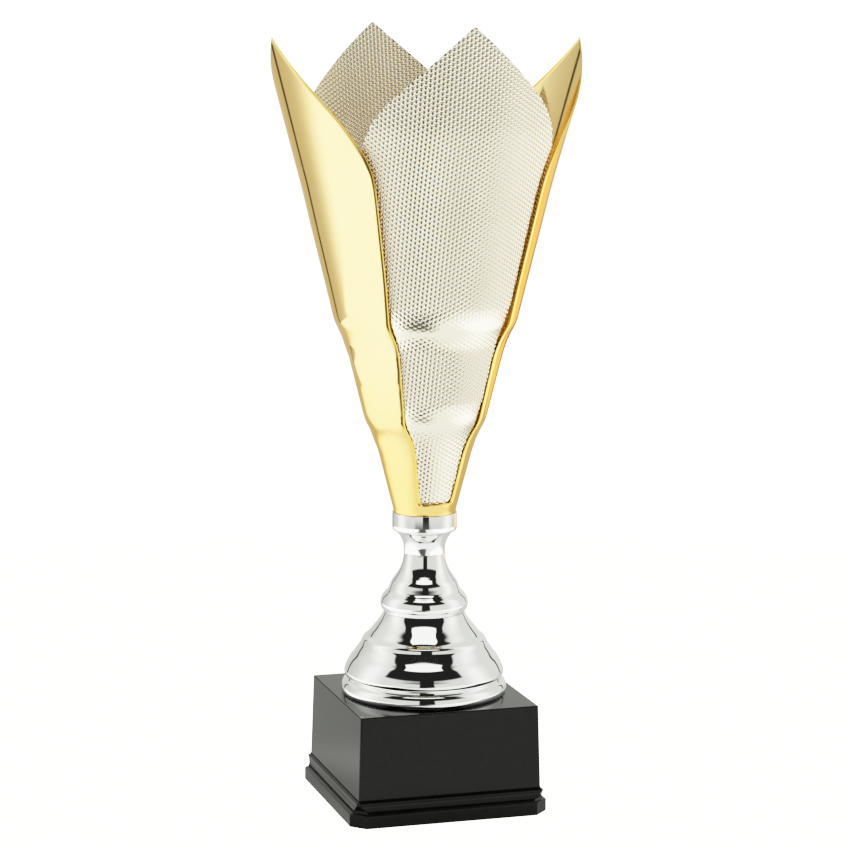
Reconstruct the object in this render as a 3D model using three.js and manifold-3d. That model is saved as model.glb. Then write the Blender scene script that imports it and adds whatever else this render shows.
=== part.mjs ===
// Cup trophy, about 530 mm tall: a square black plinth, a turned chrome riser, and a cup of four
// pointed petals. Two gold petals face left and right (X); they are one spun shell with a tall window
// cut at the front and the back. Two embossed silver leaves stand inside it and fill those windows.
// A threaded rod runs up the middle and pulls plinth, riser, collar and cup together.
//
// Units are millimetres, +Z is up, and the origin is the centre of the underside of the plinth.
// The front of the plinth faces -Y.

import * as THREE from "three";
import { mergeVertices } from "three/addons/utils/BufferGeometryUtils.js";
import Module from "manifold-3d";

const wasm = await Module();
wasm.setup();

// ---------- driving dimensions ----------

const SEAT_GAP = 0.3;              // clearance left between two pieces that rest on each other

// plinth: a hollow moulded block that widens downwards, on a coved skirt
const SKIRT_HALF = 69.3;           // half width over the skirt
const SKIRT_FACE_TOP = 8.7;        // height of the skirt's upright face
const SKIRT_CORNER = 9.5;          // how far the skirt's corners are cut back along each side
const BEAD_HALF = 65.6;            // half width over the small bead above the cove
const BLOCK_BOTTOM_Z = 18.5;
const BLOCK_BOTTOM_HALF = 63.9;
const BLOCK_TOP_Z = 74.5;
const BLOCK_TOP_HALF = 62.4;
const BLOCK_CORNER = 1.2;
const POCKET_HALF = 59.7;          // hollow underside of the plinth
const POCKET_TOP_Z = 71.3;
const POCKET_CORNER = 1;
const TOP_EDGE = 0.8;              // chamfer round the top of the block
const COVE_FLOOR_Z = 9;            // lowest point of the hollow moulding above the skirt
const COVE_HEIGHT = 6.2;
const BEAD_HEIGHT = 1.7;
const COVER_BOTTOM_Z = 1.2;
const COVER_THICKNESS = 2;
const BALLAST_HALF = 45;
const BALLAST_HEIGHT = 22;
const BALLAST_CORNER = 5;
const BALLAST_CHAMFER = 1.5;

// riser: two turned hollow mouldings and the collar that holds the cup's foot
const BELL_TOP_Z = 131;
const NECK_TOP_Z = 187;
const COLLAR_RADIUS = 22.3;
const COLLAR_BASE_RADIUS = 19.8;
const COLLAR_ROUND = 2.5;          // radius of the collar's lower edge
const COLLAR_CHAMFER = 0.4;
const COLLAR_TOP_Z = 200.2;
const COLLAR_FLOOR_Z = 193;
const RISER_WEB = 3;               // thickness of the flat top wall inside each riser moulding

// cup: thin sheet petals
const GOLD_SHEET = 0.6;
const LEAF_SHEET = 0.5;
const GOLD_TIP_Z = 521.3;
const LEAF_TIP_Z = 530;
const WINDOW_SILL_Z = 208.7;       // lower edge of the two windows in the gold shell
const FOOT_RADIUS = 21.1;          // outside of the cup's foot, where it stands in the collar
const FOOT_CLEARANCE = 0.4;
const CUP_REACH = 140;             // larger than any radius in the cup
const LEAF_FOOT_GAP = 1.2;         // distance from the middle of the cup to the edge of a leaf's foot
const GOLD_TURN = 5;               // the cup stands a few degrees off square on the plinth
const FRONT_LEAF_TURN = 6;
const REAR_LEAF_TURN = 5;
const FRONT_LEAF_LEAN = 10;        // how far the front leaf's tip leans to the left
const LEAN_DEPTH = 99;             // the lean fades out this far below the tip

// M6 fastenings on the tie rod
const ROD_RADIUS = 3;
const ROD_HOLE = 3.4;
const ROD_BOTTOM_Z = 54;
const ROD_TOP_Z = 205;
const NUT_FLAT = 5;                // half the width across the flats
const NUT_HEIGHT = 5;
const WASHER_RADIUS = 15;
const WASHER_THICKNESS = 1.6;
const LOCK_WASHER_RADIUS = 6.1;
const LOCK_WASHER_SLOT = 0.8;
const DOME_INSET = 0.2;            // how much slimmer the dome is than the flats of its nut
const DOME_RISE = 1.6;             // height of the dome's centre above the nut's shoulder

const ROUND_SEGMENTS = 48;         // facets round the riser, rod and nuts
const CUP_SEGMENTS = 72;           // facets round the petals
const FASTENING_SEGMENTS = 24;     // facets round the rod and the holes it runs through
const WASHER_SEGMENTS = 40;
const CUTTER_REACH = 1;            // how far a cutting body runs past the face it cuts

// ---------- helpers ----------

const point = (x, y) => new THREE.Vector2(x, y);

// Joins the shared vertices of a geometry and drops the empty triangles a lathe leaves on its axis.
function welded(geometry) {
  const plain = geometry.clone();
  plain.deleteAttribute("normal");
  plain.deleteAttribute("uv");
  const merged = mergeVertices(plain, 1e-4);
  const index = merged.index.array;
  const kept = [];
  for (let i = 0; i < index.length; i += 3) {
    const [a, b, c] = [index[i], index[i + 1], index[i + 2]];
    if (a !== b && b !== c && c !== a) {
      kept.push(a, b, c);
    }
  }
  merged.setIndex(kept);
  return merged;
}

function toManifold(geometry) {
  const closed = welded(geometry);
  return new wasm.Manifold(new wasm.Mesh({
    numProp: 3,
    vertProperties: new Float32Array(closed.attributes.position.array),
    triVerts: new Uint32Array(closed.index.array),
  }));
}

function fromManifold(manifold) {
  const result = manifold.getMesh();
  const geometry = new THREE.BufferGeometry();
  geometry.setAttribute("position", new THREE.BufferAttribute(result.vertProperties, 3));
  geometry.setIndex(new THREE.BufferAttribute(result.triVerts, 1));
  geometry.computeVertexNormals();
  return geometry;
}

// Turns a profile of (radius, height) points about Z. The last point meets the first one again.
function turned(profile, segments = ROUND_SEGMENTS) {
  const geometry = new THREE.LatheGeometry([...profile, profile[0]], segments);
  return geometry.rotateX(Math.PI / 2);
}

// Samples an arc, from one angle to another in degrees, as profile points.
function arc(centreX, centreY, radius, fromDegrees, toDegrees, steps) {
  const points = [];
  for (let i = 0; i <= steps; i += 1) {
    const angle = THREE.MathUtils.degToRad(fromDegrees + ((toDegrees - fromDegrees) * i) / steps);
    points.push(point(centreX + radius * Math.cos(angle), centreY + radius * Math.sin(angle)));
  }
  return points;
}

// Samples a smooth curve through a few knots.
function smooth(knots, steps) {
  return new THREE.SplineCurve(knots.map(([x, y]) => point(x, y))).getPoints(steps);
}

// A stack of square sections with their corners cut off. Each level gives a height, the half width
// there and the size of the cut there; one extrusion is made and its layers are moved to the levels.
function squareStack(levels) {
  const unitHalf = 2;
  const unitCorner = 1;
  const shape = new THREE.Shape();
  for (let quadrant = 0; quadrant < 4; quadrant += 1) {
    const start = (quadrant * Math.PI) / 2;
    const signX = quadrant === 0 || quadrant === 3 ? 1 : -1;
    const signY = quadrant < 2 ? 1 : -1;
    const inset = unitHalf - unitCorner;
    shape.absarc(signX * inset, signY * inset, unitCorner, start, start + Math.PI / 2, false);
  }
  const geometry = new THREE.ExtrudeGeometry(shape, {
    depth: levels.length - 1,
    steps: levels.length - 1,
    bevelEnabled: false,
    curveSegments: 1,
  });
  const position = geometry.attributes.position;
  for (let i = 0; i < position.count; i += 1) {
    const level = levels[Math.round(position.getZ(i))];
    const place = (value) => {
      const side = Math.sign(value);
      const inset = side * (unitHalf - unitCorner);
      return side * (level.half - level.corner) + (value - inset) * level.corner / unitCorner;
    };
    position.setXYZ(i, place(position.getX(i)), place(position.getY(i)), level.z);
  }
  return geometry;
}

// A flat ring or disc with square edges.
function ring(innerRadius, outerRadius, bottomZ, topZ, segments = WASHER_SEGMENTS) {
  return turned([
    point(innerRadius, bottomZ),
    point(outerRadius, bottomZ),
    point(outerRadius, topZ),
    point(innerRadius, topZ),
  ], segments);
}

function hexagon(bottomZ, height) {
  const corner = NUT_FLAT / Math.cos(Math.PI / 6);
  const geometry = new THREE.CylinderGeometry(corner, corner, height, 6);
  return geometry.rotateX(Math.PI / 2).translate(0, 0, bottomZ + height / 2);
}

function metal(color, roughness) {
  return new THREE.MeshStandardMaterial({ color, roughness, metalness: 1 });
}

function plain(color, roughness) {
  return new THREE.MeshStandardMaterial({ color, roughness, metalness: 0 });
}

const goldPlate = () => metal("#d9b45f", 0.12);
const silverPlate = () => metal("#dcd6c8", 0.3);
const chromePlate = () => metal("#e4e5e6", 0.05);
const zincPlate = () => metal("#b4b6b8", 0.35);

const trophy = new THREE.Group();

function add(name, geometry, material, turnDegrees = 0) {
  const mesh = new THREE.Mesh(geometry, material);
  mesh.name = name;
  mesh.rotation.z = THREE.MathUtils.degToRad(turnDegrees);
  trophy.add(mesh);
}

// ---------- plinth ----------

// Cove: a quarter hollow that climbs from the skirt's upper edge to the bead.
const coveLip = 0.6;
const coveWidth = SKIRT_HALF - coveLip - BEAD_HALF;
const coveSteps = 4;
const beadCorner = BLOCK_CORNER + 0.5;
const plinthLevels = [
  { z: 0, half: SKIRT_HALF, corner: SKIRT_CORNER },
  { z: SKIRT_FACE_TOP, half: SKIRT_HALF, corner: SKIRT_CORNER },
];
for (let i = 0; i <= coveSteps; i += 1) {
  const angle = (Math.PI / 2) * (i / coveSteps);
  plinthLevels.push({
    z: COVE_FLOOR_Z + COVE_HEIGHT * (1 - Math.cos(angle)),
    half: BEAD_HALF + coveWidth * (1 - Math.sin(angle)),
    corner: THREE.MathUtils.lerp(SKIRT_CORNER, beadCorner, i / coveSteps),
  });
}
plinthLevels.push(
  { z: COVE_FLOOR_Z + COVE_HEIGHT + BEAD_HEIGHT, half: BEAD_HALF, corner: beadCorner },
  { z: BLOCK_BOTTOM_Z, half: BLOCK_BOTTOM_HALF, corner: BLOCK_CORNER },
  { z: BLOCK_TOP_Z - TOP_EDGE, half: BLOCK_TOP_HALF, corner: BLOCK_CORNER },
  { z: BLOCK_TOP_Z, half: BLOCK_TOP_HALF - TOP_EDGE, corner: BLOCK_CORNER - TOP_EDGE },
);
const pocket = squareStack([
  { z: -CUTTER_REACH, half: POCKET_HALF, corner: POCKET_CORNER },
  { z: POCKET_TOP_Z, half: POCKET_HALF, corner: POCKET_CORNER },
]);
const plinthHole = ring(
  0, ROD_HOLE, POCKET_TOP_Z - CUTTER_REACH, BLOCK_TOP_Z + CUTTER_REACH, FASTENING_SEGMENTS,
);
add("plinth_shell", fromManifold(
  toManifold(squareStack(plinthLevels)).subtract(toManifold(pocket)).subtract(toManifold(plinthHole)),
), plain("#1b1b1a", 0.08));

const coverHalf = POCKET_HALF - SEAT_GAP;
const coverTop = COVER_BOTTOM_Z + COVER_THICKNESS;
add("bottom_cover", squareStack([
  { z: COVER_BOTTOM_Z, half: coverHalf, corner: POCKET_CORNER },
  { z: coverTop, half: coverHalf, corner: POCKET_CORNER },
]), plain("#2b2a28", 0.8));

const ballastBottom = coverTop + SEAT_GAP;
const ballastTop = ballastBottom + BALLAST_HEIGHT;
const ballastInset = { half: BALLAST_HALF - BALLAST_CHAMFER, corner: BALLAST_CORNER - 1 };
add("ballast_block", squareStack([
  { z: ballastBottom, ...ballastInset },
  { z: ballastBottom + BALLAST_CHAMFER, half: BALLAST_HALF, corner: BALLAST_CORNER },
  { z: ballastTop - BALLAST_CHAMFER, half: BALLAST_HALF, corner: BALLAST_CORNER },
  { z: ballastTop, ...ballastInset },
]), plain("#cfc9bd", 0.9));

// ---------- riser ----------

// Bell: flange bead, groove, lower bulge, crease, upper bulge that sweeps in under the bead.
const bellBottom = BLOCK_TOP_Z + SEAT_GAP;
const bellTop = BELL_TOP_Z - SEAT_GAP / 2;
const bellOutside = [
  ...smooth([[56.2, bellBottom], [56.8, 76], [57, 78], [56.5, 80.7], [55.3, 82.9], [53.5, 84.4]], 6),
  ...smooth([[53.2, 85.4], [54.9, 89.3], [53.7, 93.4], [50.8, 99], [47.3, 103.6], [44, 108.4]], 8),
  ...smooth([[43.2, 109.6], [42.2, 112.4], [39.4, 114.8], [36, 118.8], [32.4, 123.2], [29.3, 127.6],
    [27.6, bellTop]], 8),
];
const bellInside = [
  point(ROD_HOLE, bellTop),
  point(ROD_HOLE, bellTop - RISER_WEB),
  point(25.4, bellTop - RISER_WEB),
  point(29.6, 124),
  point(36.6, 115.4),
  point(40.4, 111.4),
  point(41.4, 108.6),
  point(48, 98.4),
  point(51.4, 91),
  point(50.6, bellBottom),
];
add("riser_bell", turned([...bellOutside, ...bellInside]), chromePlate());

// Neck: the bead, a rounded knuckle, then the throat that opens again under the collar.
const neckBottom = BELL_TOP_Z + SEAT_GAP / 2;
const neckTop = NECK_TOP_Z - SEAT_GAP;
const neckOutside = [
  ...smooth([[27.7, neckBottom], [29.3, 133.4], [30.2, 136.2], [29.9, 139], [28.8, 141.8], [26.6, 144.6]], 7),
  ...smooth([[24.8, 146.2], [23.6, 149.2], [22.3, 152.4], [19.9, 155.8], [17.2, 160], [14.9, 166],
    [14.2, 173.4], [15.2, 180], [17.4, 184], [19.4, neckTop]], 12),
];
const neckInside = [
  point(ROD_HOLE, neckTop),
  point(ROD_HOLE, neckTop - RISER_WEB),
  point(13.4, neckTop - RISER_WEB),
  point(11.9, 177),
  point(11.9, 168),
  point(14.4, 159.6),
  point(20.2, 151),
  point(22.4, 145),
  point(26.2, 141),
  point(26.8, 135.6),
  point(25, neckBottom),
];
add("riser_neck", turned([...neckOutside, ...neckInside]), chromePlate());

// Collar: a shallow dish with a rounded underside; the foot of the cup stands in it.
const collarBore = FOOT_RADIUS + FOOT_CLEARANCE;
add("cup_collar", turned([
  point(ROD_HOLE, NECK_TOP_Z),
  point(COLLAR_BASE_RADIUS, NECK_TOP_Z),
  ...arc(COLLAR_RADIUS - COLLAR_ROUND, NECK_TOP_Z + COLLAR_ROUND, COLLAR_ROUND, -70, 0, 4),
  point(COLLAR_RADIUS, COLLAR_TOP_Z - COLLAR_CHAMFER),
  point(COLLAR_RADIUS - COLLAR_CHAMFER, COLLAR_TOP_Z),
  point(collarBore, COLLAR_TOP_Z),
  point(collarBore, COLLAR_FLOOR_Z),
  point(ROD_HOLE, COLLAR_FLOOR_Z),
]), chromePlate());

// ---------- cup ----------

// Outside line of the gold shell: foot, then three cones joined by two convex shoulders.
const goldLine = [
  [FOOT_RADIUS, COLLAR_FLOOR_Z + SEAT_GAP],
  [FOOT_RADIUS, 200.4],
  [22.6, 206],
  [32.3, 243.5],
  [36.2, 254.6],
  [41.2, 263.8],
  [53, 311],
  [55.6, 318.6],
  [58.6, 325.2],
  [62, 331.4],
  [84.1, 422],
  [101.4, 486],
  [111.2, 522],
];

// Outside line of the embossed leaves: the same three cones a little further in. The top bends
// inwards, away from the gold.
const leafLine = [
  [19.7, COLLAR_FLOOR_Z + SEAT_GAP + GOLD_SHEET + SEAT_GAP],
  [19.7, 200.4],
  [21.1, 206],
  [30.7, 243.5],
  [34.5, 254.6],
  [39.4, 263.8],
  [51, 311],
  [53.4, 318.6],
  [56.2, 325.2],
  [59, 331.4],
  [79.5, 419],
  [91.5, 463],
  [102.6, 531],
];

// A sheet of even thickness turned about Z, with a flat floor that the tie rod passes through.
function turnedSheet(line, thickness) {
  const outside = line.map(([radius, z]) => point(radius, z));
  const inside = [];
  for (let i = line.length - 1; i > 0; i -= 1) {
    const [radius, z] = line[i];
    const [lowerRadius, lowerZ] = line[i - 1];
    const slant = Math.hypot(radius - lowerRadius, z - lowerZ) / (z - lowerZ);
    inside.push(point(radius - thickness * slant, z));
  }
  const floorTop = line[0][1] + thickness;
  inside.push(point(line[0][0] - thickness, floorTop));
  inside.push(point(ROD_HOLE, floorTop));
  inside.push(point(ROD_HOLE, line[0][1]));
  return toManifold(turned([...outside, ...inside], CUP_SEGMENTS));
}

// Petal outlines seen square on, as (half width, drop below the tip): a straight-sided point, a
// round shoulder, then sides that run in towards the foot. The leaves are broader in the shoulder.
const goldSide = [
  [0, 0],
  [14, 12.4],
  [28.4, 25.4],
  [41.4, 38.4],
  [50.6, 49.6],
  [57.2, 62.6],
  [60.8, 74],
  [61.8, 86],
  [60.2, 99],
  [50.2, 159],
  [38.2, 221],
  [20.2, 312.6],
];
const leafSide = [
  [0, 0],
  [14.5, 12.4],
  [29, 25.4],
  [42.4, 38.4],
  [54.1, 49.6],
  [62.4, 62.6],
  [66, 74],
  [66.6, 86],
  [64, 99],
  [52, 159],
  [38.2, 221],
  [20.2, 316],
];

// A slab with a petal outline, standing on the foot and reaching outwards along +X. The tip leans
// towards -Y by the given distance.
function petalSlab(side, tipZ, footZ, fromX, toX, lean = 0) {
  const place = (sign, [half, drop]) => {
    const shift = -lean * Math.max(0, 1 - drop / LEAN_DEPTH);
    return [sign * half + shift, tipZ - drop];
  };
  const [footHalf] = side[side.length - 1];
  const shape = new THREE.Shape();
  shape.moveTo(...place(1, side[0]));
  for (const row of side.slice(1)) {
    shape.lineTo(...place(1, row));
  }
  shape.lineTo(footHalf, footZ);
  shape.lineTo(-footHalf, footZ);
  for (const row of side.slice(1).reverse()) {
    shape.lineTo(...place(-1, row));
  }
  const geometry = new THREE.ExtrudeGeometry(shape, { depth: toX - fromX, bevelEnabled: false });
  geometry.rotateX(Math.PI / 2);
  geometry.rotateZ(Math.PI / 2);
  return toManifold(geometry.translate(fromX, 0, 0));
}

const goldBlank = turnedSheet(goldLine, GOLD_SHEET);
const goldRing = toManifold(ring(0, CUP_REACH, COLLAR_FLOOR_Z, WINDOW_SILL_Z));
const goldSlab = petalSlab(goldSide, GOLD_TIP_Z, COLLAR_FLOOR_Z, -CUP_REACH, CUP_REACH);
add("gold_shell", fromManifold(goldBlank.intersect(goldSlab.add(goldRing))), goldPlate(), GOLD_TURN);

// Each leaf keeps only its own side of the cup, so the two feet stop either side of the middle.
const leafBlank = turnedSheet(leafLine, LEAF_SHEET);

function addLeaf(name, turnDegrees, lean) {
  const slab = petalSlab(leafSide, LEAF_TIP_Z, COLLAR_FLOOR_Z, LEAF_FOOT_GAP, CUP_REACH, lean);
  add(name, fromManifold(leafBlank.intersect(slab)), silverPlate(), turnDegrees);
}

addLeaf("mesh_leaf_front", -90 + FRONT_LEAF_TURN, FRONT_LEAF_LEAN);
addLeaf("mesh_leaf_rear", 90 + REAR_LEAF_TURN, 0);

// ---------- tie rod and fastenings ----------

add("tie_rod", ring(0, ROD_RADIUS, ROD_BOTTOM_Z, ROD_TOP_Z, FASTENING_SEGMENTS), zincPlate());

const leafFloorTop = leafLine[0][1] + LEAF_SHEET;
const clampBottom = leafFloorTop + SEAT_GAP;
const clampTop = clampBottom + WASHER_THICKNESS;
add("cup_clamp_washer", ring(ROD_HOLE, WASHER_RADIUS, clampBottom, clampTop), zincPlate());

const domeBottom = clampTop + SEAT_GAP;
const domeShoulder = domeBottom + NUT_HEIGHT;
const domeRadius = NUT_FLAT - DOME_INSET;
const dome = turned([
  point(0, domeShoulder - CUTTER_REACH),
  point(domeRadius, domeShoulder - CUTTER_REACH),
  ...arc(0, domeShoulder + DOME_RISE, domeRadius, 0, 90, 5),
], FASTENING_SEGMENTS);
const domeBore = ring(
  0, ROD_HOLE, domeBottom - CUTTER_REACH, ROD_TOP_Z + SEAT_GAP, FASTENING_SEGMENTS,
);
add("dome_nut", fromManifold(
  toManifold(hexagon(domeBottom, NUT_HEIGHT)).add(toManifold(dome)).subtract(toManifold(domeBore)),
), chromePlate());

const baseWasherTop = POCKET_TOP_Z - SEAT_GAP;
const baseWasherBottom = baseWasherTop - WASHER_THICKNESS;
add("base_washer", ring(ROD_HOLE, WASHER_RADIUS, baseWasherBottom, baseWasherTop), zincPlate());

const lockTop = baseWasherBottom - SEAT_GAP;
const lockBottom = lockTop - WASHER_THICKNESS;
const lockSlot = new THREE.BoxGeometry(LOCK_WASHER_RADIUS, LOCK_WASHER_SLOT, 2 * WASHER_THICKNESS);
lockSlot.translate(LOCK_WASHER_RADIUS, 0, (lockTop + lockBottom) / 2);
add("lock_washer", fromManifold(
  toManifold(ring(ROD_HOLE, LOCK_WASHER_RADIUS, lockBottom, lockTop)).subtract(toManifold(lockSlot)),
), zincPlate());

const nutTop = lockBottom - SEAT_GAP;
const nutBottom = nutTop - NUT_HEIGHT;
const nutBore = ring(
  0, ROD_HOLE, nutBottom - CUTTER_REACH, nutTop + CUTTER_REACH, FASTENING_SEGMENTS,
);
add("base_nut", fromManifold(
  toManifold(hexagon(nutBottom, NUT_HEIGHT)).subtract(toManifold(nutBore)),
), zincPlate());

export default trophy;
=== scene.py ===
"""Looks for the cup trophy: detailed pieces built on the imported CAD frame, in metres, +Z up."""

import math

import bmesh
import bpy
import numpy as np
from mathutils import Matrix, Vector, noise


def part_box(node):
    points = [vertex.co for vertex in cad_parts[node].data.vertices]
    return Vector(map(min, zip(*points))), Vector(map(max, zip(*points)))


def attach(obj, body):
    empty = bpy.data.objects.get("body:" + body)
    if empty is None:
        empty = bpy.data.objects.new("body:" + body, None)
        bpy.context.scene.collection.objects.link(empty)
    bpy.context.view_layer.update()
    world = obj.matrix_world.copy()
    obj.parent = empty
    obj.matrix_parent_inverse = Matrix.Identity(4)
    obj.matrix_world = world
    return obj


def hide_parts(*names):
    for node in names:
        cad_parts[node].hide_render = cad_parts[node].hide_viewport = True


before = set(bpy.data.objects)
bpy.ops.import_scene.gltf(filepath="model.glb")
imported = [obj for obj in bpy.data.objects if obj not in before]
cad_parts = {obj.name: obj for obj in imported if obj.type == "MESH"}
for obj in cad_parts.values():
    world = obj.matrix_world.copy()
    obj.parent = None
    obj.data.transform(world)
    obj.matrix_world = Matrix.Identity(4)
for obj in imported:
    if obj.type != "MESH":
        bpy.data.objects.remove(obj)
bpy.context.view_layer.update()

MM = 0.001  # the outlines below are written in millimetres and turned into metres with this


# ---------- places taken from the frame ----------

_, plinth_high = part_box("plinth_shell")
neck_low, neck_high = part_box("riser_neck")
bell_low, bell_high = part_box("riser_bell")
collar_low, collar_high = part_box("cup_collar")
gold_low, gold_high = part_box("gold_shell")
leaf_low, leaf_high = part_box("mesh_leaf_front")
rod_low, rod_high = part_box("tie_rod")

ROD_HOLE = 3.4  # radius of the hole that the tie rod passes through
GOLD_SHEET = 0.6
LEAF_SHEET = 0.5
GOLD_TURN = math.radians(5)
FRONT_TURN = math.radians(-90 + 6)
REAR_TURN = math.radians(90 + 5)


# ---------- lines ----------


def arc(centre, radius, start, end, steps):
    """Points on an arc in the (radius, height) plane, from one angle to another in degrees."""
    points = []
    for i in range(steps + 1):
        angle = math.radians(start + (end - start) * i / steps)
        points.append((centre[0] + radius * math.cos(angle), centre[1] + radius * math.sin(angle)))
    return points


def smooth(knots, step):
    """A smooth line through the knots, with a point about every step."""
    knots = np.array(knots, float)
    gaps = np.hypot(*np.diff(knots, axis=0).T)
    slopes = np.diff(knots, axis=0) / gaps[:, None]
    tangents = [slopes[0]]
    for i in range(1, len(knots) - 1):
        before, after = gaps[i - 1], gaps[i]
        tangents.append((slopes[i - 1] * after + slopes[i] * before) / (before + after))
    tangents.append(slopes[-1])
    points = []
    for i, gap in enumerate(gaps):
        count = max(1, round(gap / step))
        for k in range(count):
            t = k / count
            start = (1 + 2 * t) * (1 - t) ** 2 * knots[i] + t * (1 - t) ** 2 * gap * tangents[i]
            end = t * t * (3 - 2 * t) * knots[i + 1] + t * t * (t - 1) * gap * tangents[i + 1]
            points.append(tuple(start + end))
    points.append(tuple(knots[-1]))
    return points


def rounded(knots, reach, step):
    """Straight runs between the knots, with each corner rounded over at most reach either side."""
    knots = [Vector(k) for k in knots]
    points = [knots[0]]
    for before, corner, after in zip(knots, knots[1:], knots[2:]):
        back, onward = before - corner, after - corner
        start = corner + back.normalized() * min(reach, back.length * 0.48)
        end = corner + onward.normalized() * min(reach, onward.length * 0.48)
        for i in range(7):
            t = i / 6
            points.append(start * (1 - t) ** 2 + corner * 2 * t * (1 - t) + end * t * t)
    points.append(knots[-1])
    line = [points[0]]
    for point in points[1:]:
        pieces = max(1, round((point - line[-1]).length / step))
        start = line[-1]
        line += [start.lerp(point, (i + 1) / pieces) for i in range(pieces)]
    return [tuple(p) for p in line]


# ---------- meshes ----------

MAX_SMOOTH_ANGLE = math.radians(33)


def make_piece(name, points, faces, slot, material, second=None, second_faces=()):
    """A mesh piece that rides on the body, stands for the CAD node of its name and has its finish."""
    mesh = bpy.data.meshes.new(name)
    mesh.from_pydata([tuple(MM * value for value in p) for p in points], [], faces)
    mesh.materials.append(material)
    if second:
        mesh.materials.append(second)
    for face in second_faces:
        mesh.polygons[face].material_index = 1
    shape = bmesh.new()
    shape.from_mesh(mesh)
    bmesh.ops.remove_doubles(shape, verts=shape.verts, dist=0.00002)
    bmesh.ops.recalc_face_normals(shape, faces=shape.faces)
    shape.to_mesh(mesh)
    shape.free()
    mesh.shade_smooth()
    mesh.set_sharp_from_angle(angle=MAX_SMOOTH_ANGLE)
    piece = bpy.data.objects.new(name + "_look", mesh)
    bpy.context.scene.collection.objects.link(piece)
    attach(piece, "root")
    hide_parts(name)
    return piece


def join_rings(rings, closed=True):
    """Points and faces of a surface through rings that have the same number of points."""
    count = len(rings[0])
    points = [p for ring in rings for p in ring]
    faces = []
    for k in range(len(rings) if closed else len(rings) - 1):
        here = k * count
        there = ((k + 1) % len(rings)) * count
        for i in range(count):
            j = (i + 1) % count
            faces.append((here + i, here + j, there + j, there + i))
    return points, faces


def circle(radius, height, segments):
    """A level ring of points; radius and height may be functions of the angle."""
    ring = []
    for i in range(segments):
        angle = 2 * math.pi * i / segments
        r = radius(angle) if callable(radius) else radius
        z = height(angle) if callable(height) else height
        ring.append((r * math.cos(angle), r * math.sin(angle), z))
    return ring


def turned(outline, segments):
    """Turns a closed (radius, height) outline about the z axis."""
    return join_rings([circle(r, z, segments) for r, z in outline])


def rounded_square(half, corner, height, corner_steps=8, side_steps=4, cut=0.0):
    """A level ring round a square whose corners are round, or cut off straight where cut is 1."""
    middle = half - corner
    centres = [(middle, middle), (-middle, middle), (-middle, -middle), (middle, -middle)]
    ring = []
    for quadrant, (x, y) in enumerate(centres):
        for i in range(corner_steps + 1):
            share = i / corner_steps
            start, turn, end = (math.pi / 2 * (quadrant + place) for place in (0, share, 1))
            across = math.cos(start) * (1 - share) + math.cos(end) * share
            along = math.sin(start) * (1 - share) + math.sin(end) * share
            across = math.cos(turn) * (1 - cut) + across * cut
            along = math.sin(turn) * (1 - cut) + along * cut
            ring.append((x + corner * across, y + corner * along, height))
        next_x, next_y = centres[(quadrant + 1) % 4]
        start_x, start_y, _ = ring[-1]
        for i in range(1, side_steps):
            t = i / side_steps
            ring.append((start_x + (next_x - x) * t, start_y + (next_y - y) * t, height))
    return ring


def shrunk_to_circle(ring, radius, height):
    """A circle with its points in the same directions as the ring's points."""
    return [
        (radius * x / math.hypot(x, y), radius * y / math.hypot(x, y), height) for x, y, _ in ring
    ]


# ---------- materials ----------

COLOUR_MIX_INPUTS = (0, 6, 7)  # the colour mix node's factor and its two colours
COLOUR_MIX_RESULT = 2

class NodeMaths:
    """The sums of nodes that the materials, the floor and the sky share."""

    def connect(self, socket, item):
        """Gives the socket a number or a colour, or links it to another node's output."""
        if isinstance(item, (int, float, tuple)):
            socket.default_value = item
        else:
            self.links.new(item, socket)

    def math(self, operation, *values):
        node = self.nodes.new("ShaderNodeMath")
        node.operation = operation
        for socket, value in zip(node.inputs, values):
            self.connect(socket, value)
        return node.outputs[0]

    def spread(self, value, from_min, from_max, to_min=0.0, to_max=1.0):
        """One range of values turned into another, smooth at both ends."""
        node = self.nodes.new("ShaderNodeMapRange")
        node.interpolation_type = "SMOOTHSTEP"
        self.connect(node.inputs["Value"], value)
        self.connect(node.inputs["From Min"], from_min)
        self.connect(node.inputs["From Max"], from_max)
        self.connect(node.inputs["To Min"], to_min)
        self.connect(node.inputs["To Max"], to_max)
        return node.outputs["Result"]

    def mixed_colour(self, amount, first, second, blend_type="MIX"):
        """The first colour where the amount is 0, and the second, or their blend, where it is 1."""
        mix = self.nodes.new("ShaderNodeMix")
        mix.data_type = "RGBA"
        mix.blend_type = blend_type
        factor, first_colour, second_colour = (mix.inputs[i] for i in COLOUR_MIX_INPUTS)
        self.connect(factor, amount)
        self.connect(first_colour, first)
        self.connect(second_colour, second)
        return mix.outputs[COLOUR_MIX_RESULT]

    def seen_from_camera(self, place):
        """A place or direction as x to the camera's right, y away from the camera and z up."""
        turn = self.nodes.new("ShaderNodeVectorRotate")
        turn.rotation_type = "Z_AXIS"
        turn.inputs["Angle"].default_value = -CAMERA_AZIMUTH
        self.links.new(place, turn.inputs["Vector"])
        parts = self.nodes.new("ShaderNodeSeparateXYZ")
        self.links.new(turn.outputs["Vector"], parts.inputs["Vector"])
        return parts.outputs["X"], parts.outputs["Y"], parts.outputs["Z"]

    def is_camera_ray(self):
        return self.nodes.new("ShaderNodeLightPath").outputs["Is Camera Ray"]


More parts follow.
